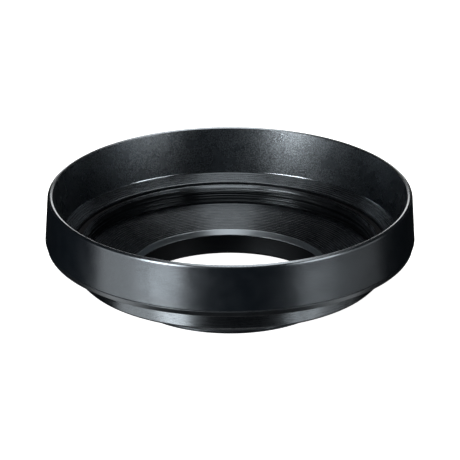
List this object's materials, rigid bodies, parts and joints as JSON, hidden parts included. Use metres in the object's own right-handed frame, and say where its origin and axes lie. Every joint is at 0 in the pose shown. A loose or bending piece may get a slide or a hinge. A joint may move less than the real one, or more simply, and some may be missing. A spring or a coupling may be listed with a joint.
{
  "type": "lens hood",
  "caption": "Wide round metal lens hood on a short threaded neck, with a filter thread and a grooved baffle inside; the barrel unscrews from the neck.",
  "frame": {"origin": "centre of the mount's lower end, where it stands on a table", "axes": "+Z along the optical axis, from the lens mount towards the open rim; X and Y lie across the hood and are equal"},
  "size_m": [0.0618, 0.0618, 0.0178],
  "materials": {
    "blasted_black": "fine bead-blasted black anodise",
    "satin_black": "smooth turned black anodise",
    "grooved_black": "black anodise with fine turned grooves against reflections",
    "turned_black": "black anodise with fine turning lines",
    "thread_black": "glossier black anodise on the threads",
    "seal_black": "matt black rubber"
  },
  "bodies": {
    "mount": {"neck_ring": "turned_black", "baffle_disc": "grooved_black", "mount_sleeve": "thread_black", "retaining_ring": "satin_black"},
    "seal": {"light_seal": "seal_black"},
    "barrel": {"hood_barrel": "blasted_black", "base_ring": "satin_black", "step_ring": "grooved_black"}
  },
  "joints": [
    {"name": "barrel_lift", "type": "slide", "parent": "mount", "child": "seal", "axis": [0, 0, 1], "range_m": [0, 0.001]},
    {"name": "barrel_turn", "type": "hinge", "parent": "seal", "child": "barrel", "pos_m": [0, 0, 0.0075], "axis": [0, 0, 1], "range_deg": [0, 720]}
  ],
  "couplings": [
    {"joint": "barrel_lift", "follows": "barrel_turn", "m_per_rad": 0.000079577}
  ]
}
